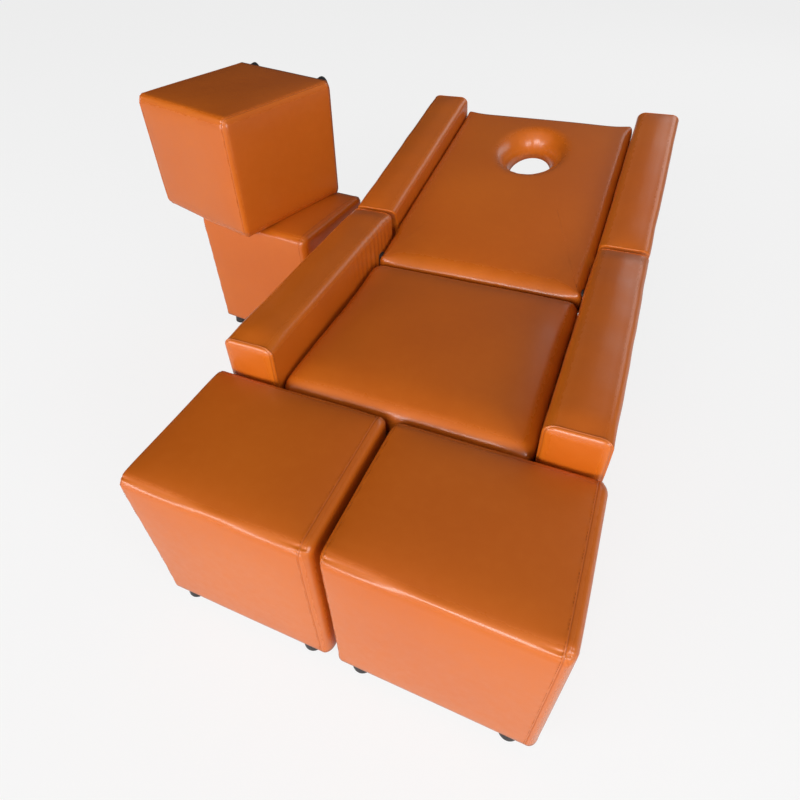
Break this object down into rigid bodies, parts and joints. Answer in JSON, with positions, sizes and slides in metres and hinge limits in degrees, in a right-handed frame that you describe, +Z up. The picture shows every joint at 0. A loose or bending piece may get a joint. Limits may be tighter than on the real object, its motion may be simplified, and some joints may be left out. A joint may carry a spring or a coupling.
{
  "type": "foot massage chair",
  "caption": "Reclining foot massage chair in tan leather with padded arms and wings, a face hole in the hinged back, leg-rest ottomans and stacked cube stools.",
  "frame": {"origin": "On the floor, at the middle of the rectangle that the whole set covers: chair, leg-rest ottomans and stacked stools.", "axes": "+X points right as seen from the foot end, +Y runs from the leg-rest ottomans to the head end of the back, +Z is up."},
  "size_m": [1.5572, 1.8268, 0.8053],
  "materials": {
    "arm_leather": "satin, faintly grained",
    "wing_leather": "satin, faintly grained",
    "stool_leather": "satin, faintly grained",
    "apron_leather": "satin, faintly grained",
    "seat_upholstery": "leather-covered foam, satin",
    "back_upholstery": "leather-covered foam, satin",
    "hole_leather": "satin, faintly grained",
    "foam": "open-cell foam",
    "plywood": "raw, sanded",
    "timber": "raw, planed",
    "lining_cloth": "non-woven cloth",
    "glide": "moulded",
    "plated_steel": "zinc plated",
    "screws": "zinc plated",
    "bush_plastic": "moulded",
    "black_tube": "gloss black",
    "rod_chrome": "hard chrome",
    "lever_steel": "black powder coat",
    "grip_rubber": "ribbed, matt"
  },
  "bodies": {
    "chair": {"left_arm_cover": "arm_leather", "right_arm_cover": "arm_leather", "left_arm_box": "plywood", "right_arm_box": "plywood", "arm_base_boards": "plywood", "chair_feet": "glide", "front_rail": "timber", "rear_rail": "timber", "seat_cleats": "timber", "seat_deck": "plywood", "seat_cushion": "seat_upholstery", "front_apron": "apron_leather", "lower_cross_rail": "timber", "spring_foot_bracket": "plated_steel", "fixed_hinge_plates": "plated_steel", "hinge_studs": "plated_steel", "chair_screws": "screws", "shaft_bushes": "bush_plastic"},
    "backrest": {"back_left_rail": "timber", "back_right_rail": "timber", "back_cross_rails": "timber", "back_deck": "plywood", "underside_cover": "lining_cloth", "back_pad": "back_upholstery", "face_hole_lining": "hole_leather", "left_wing_cover": "wing_leather", "right_wing_cover": "wing_leather", "left_wing_box": "plywood", "right_wing_box": "plywood", "wing_base_boards": "plywood", "wing_bolts": "screws", "back_hinge_plates": "plated_steel", "back_screws": "screws", "spring_top_bracket": "plated_steel", "spring_top_pin": "plated_steel"},
    "gas_tube": {"gas_cylinder": "black_tube"},
    "gas_piston": {"gas_rod": "rod_chrome", "release_head": "plated_steel"},
    "lever": {"release_lever": "lever_steel", "lever_grip": "grip_rubber"},
    "left_ottoman": {"left_ottoman_cover": "stool_leather", "left_ottoman_foam": "foam", "left_ottoman_box": "plywood", "left_ottoman_base_board": "plywood", "left_ottoman_feet": "glide"},
    "right_ottoman": {"right_ottoman_cover": "stool_leather", "right_ottoman_foam": "foam", "right_ottoman_box": "plywood", "right_ottoman_base_board": "plywood", "right_ottoman_feet": "glide"},
    "lower_stool": {"lower_stool_cover": "stool_leather", "lower_stool_foam": "foam", "lower_stool_box": "plywood", "lower_stool_base_board": "plywood", "lower_stool_feet": "glide"},
    "upper_stool": {"upper_stool_cover": "stool_leather", "upper_stool_foam": "foam", "upper_stool_box": "plywood", "upper_stool_base_board": "plywood", "upper_stool_feet": "glide"}
  },
  "joints": [
    {"name": "back_hinge", "type": "hinge", "parent": "chair", "child": "backrest", "pos_m": [0.34108, 0.05464, 0.425], "axis": [1, 0, 0], "range_deg": [0, 62]},
    {"name": "rod_pivot", "type": "hinge", "parent": "chair", "child": "gas_piston", "pos_m": [0.34108, 0.05426, 0.10993], "axis": [1, 0, 0], "range_deg": [0, 31]},
    {"name": "tube_pivot", "type": "hinge", "parent": "backrest", "child": "gas_tube", "pos_m": [0.34108, 0.35887, 0.34309], "axis": [1, 0, 0], "range_deg": [-31, 0]},
    {"name": "release_lever_turn", "type": "hinge", "parent": "chair", "child": "lever", "pos_m": [0.34108, 0.05426, 0.10993], "axis": [-1, 0, 0], "range_deg": [0, 20], "stiffness_Nm_per_rad": 1.5, "springref_deg": -17.19},
    {"name": "left_ottoman_slide", "type": "slide", "parent": "chair", "child": "left_ottoman", "axis": [0, -1, 0], "range_m": [0, 0.5]},
    {"name": "right_ottoman_slide", "type": "slide", "parent": "chair", "child": "right_ottoman", "axis": [0, -1, 0], "range_m": [0, 0.5]},
    {"name": "lower_stool_slide", "type": "slide", "parent": "chair", "child": "lower_stool", "axis": [-1, 0, 0], "range_m": [0, 0.4]},
    {"name": "upper_stool_lift", "type": "slide", "parent": "lower_stool", "child": "upper_stool", "axis": [0, 0, 1], "range_m": [0, 0.3]}
  ],
  "couplings": [
    {"joint": "rod_pivot", "follows": "back_hinge", "ratio": 0.5},
    {"joint": "tube_pivot", "follows": "back_hinge", "ratio": -0.5}
  ]
}
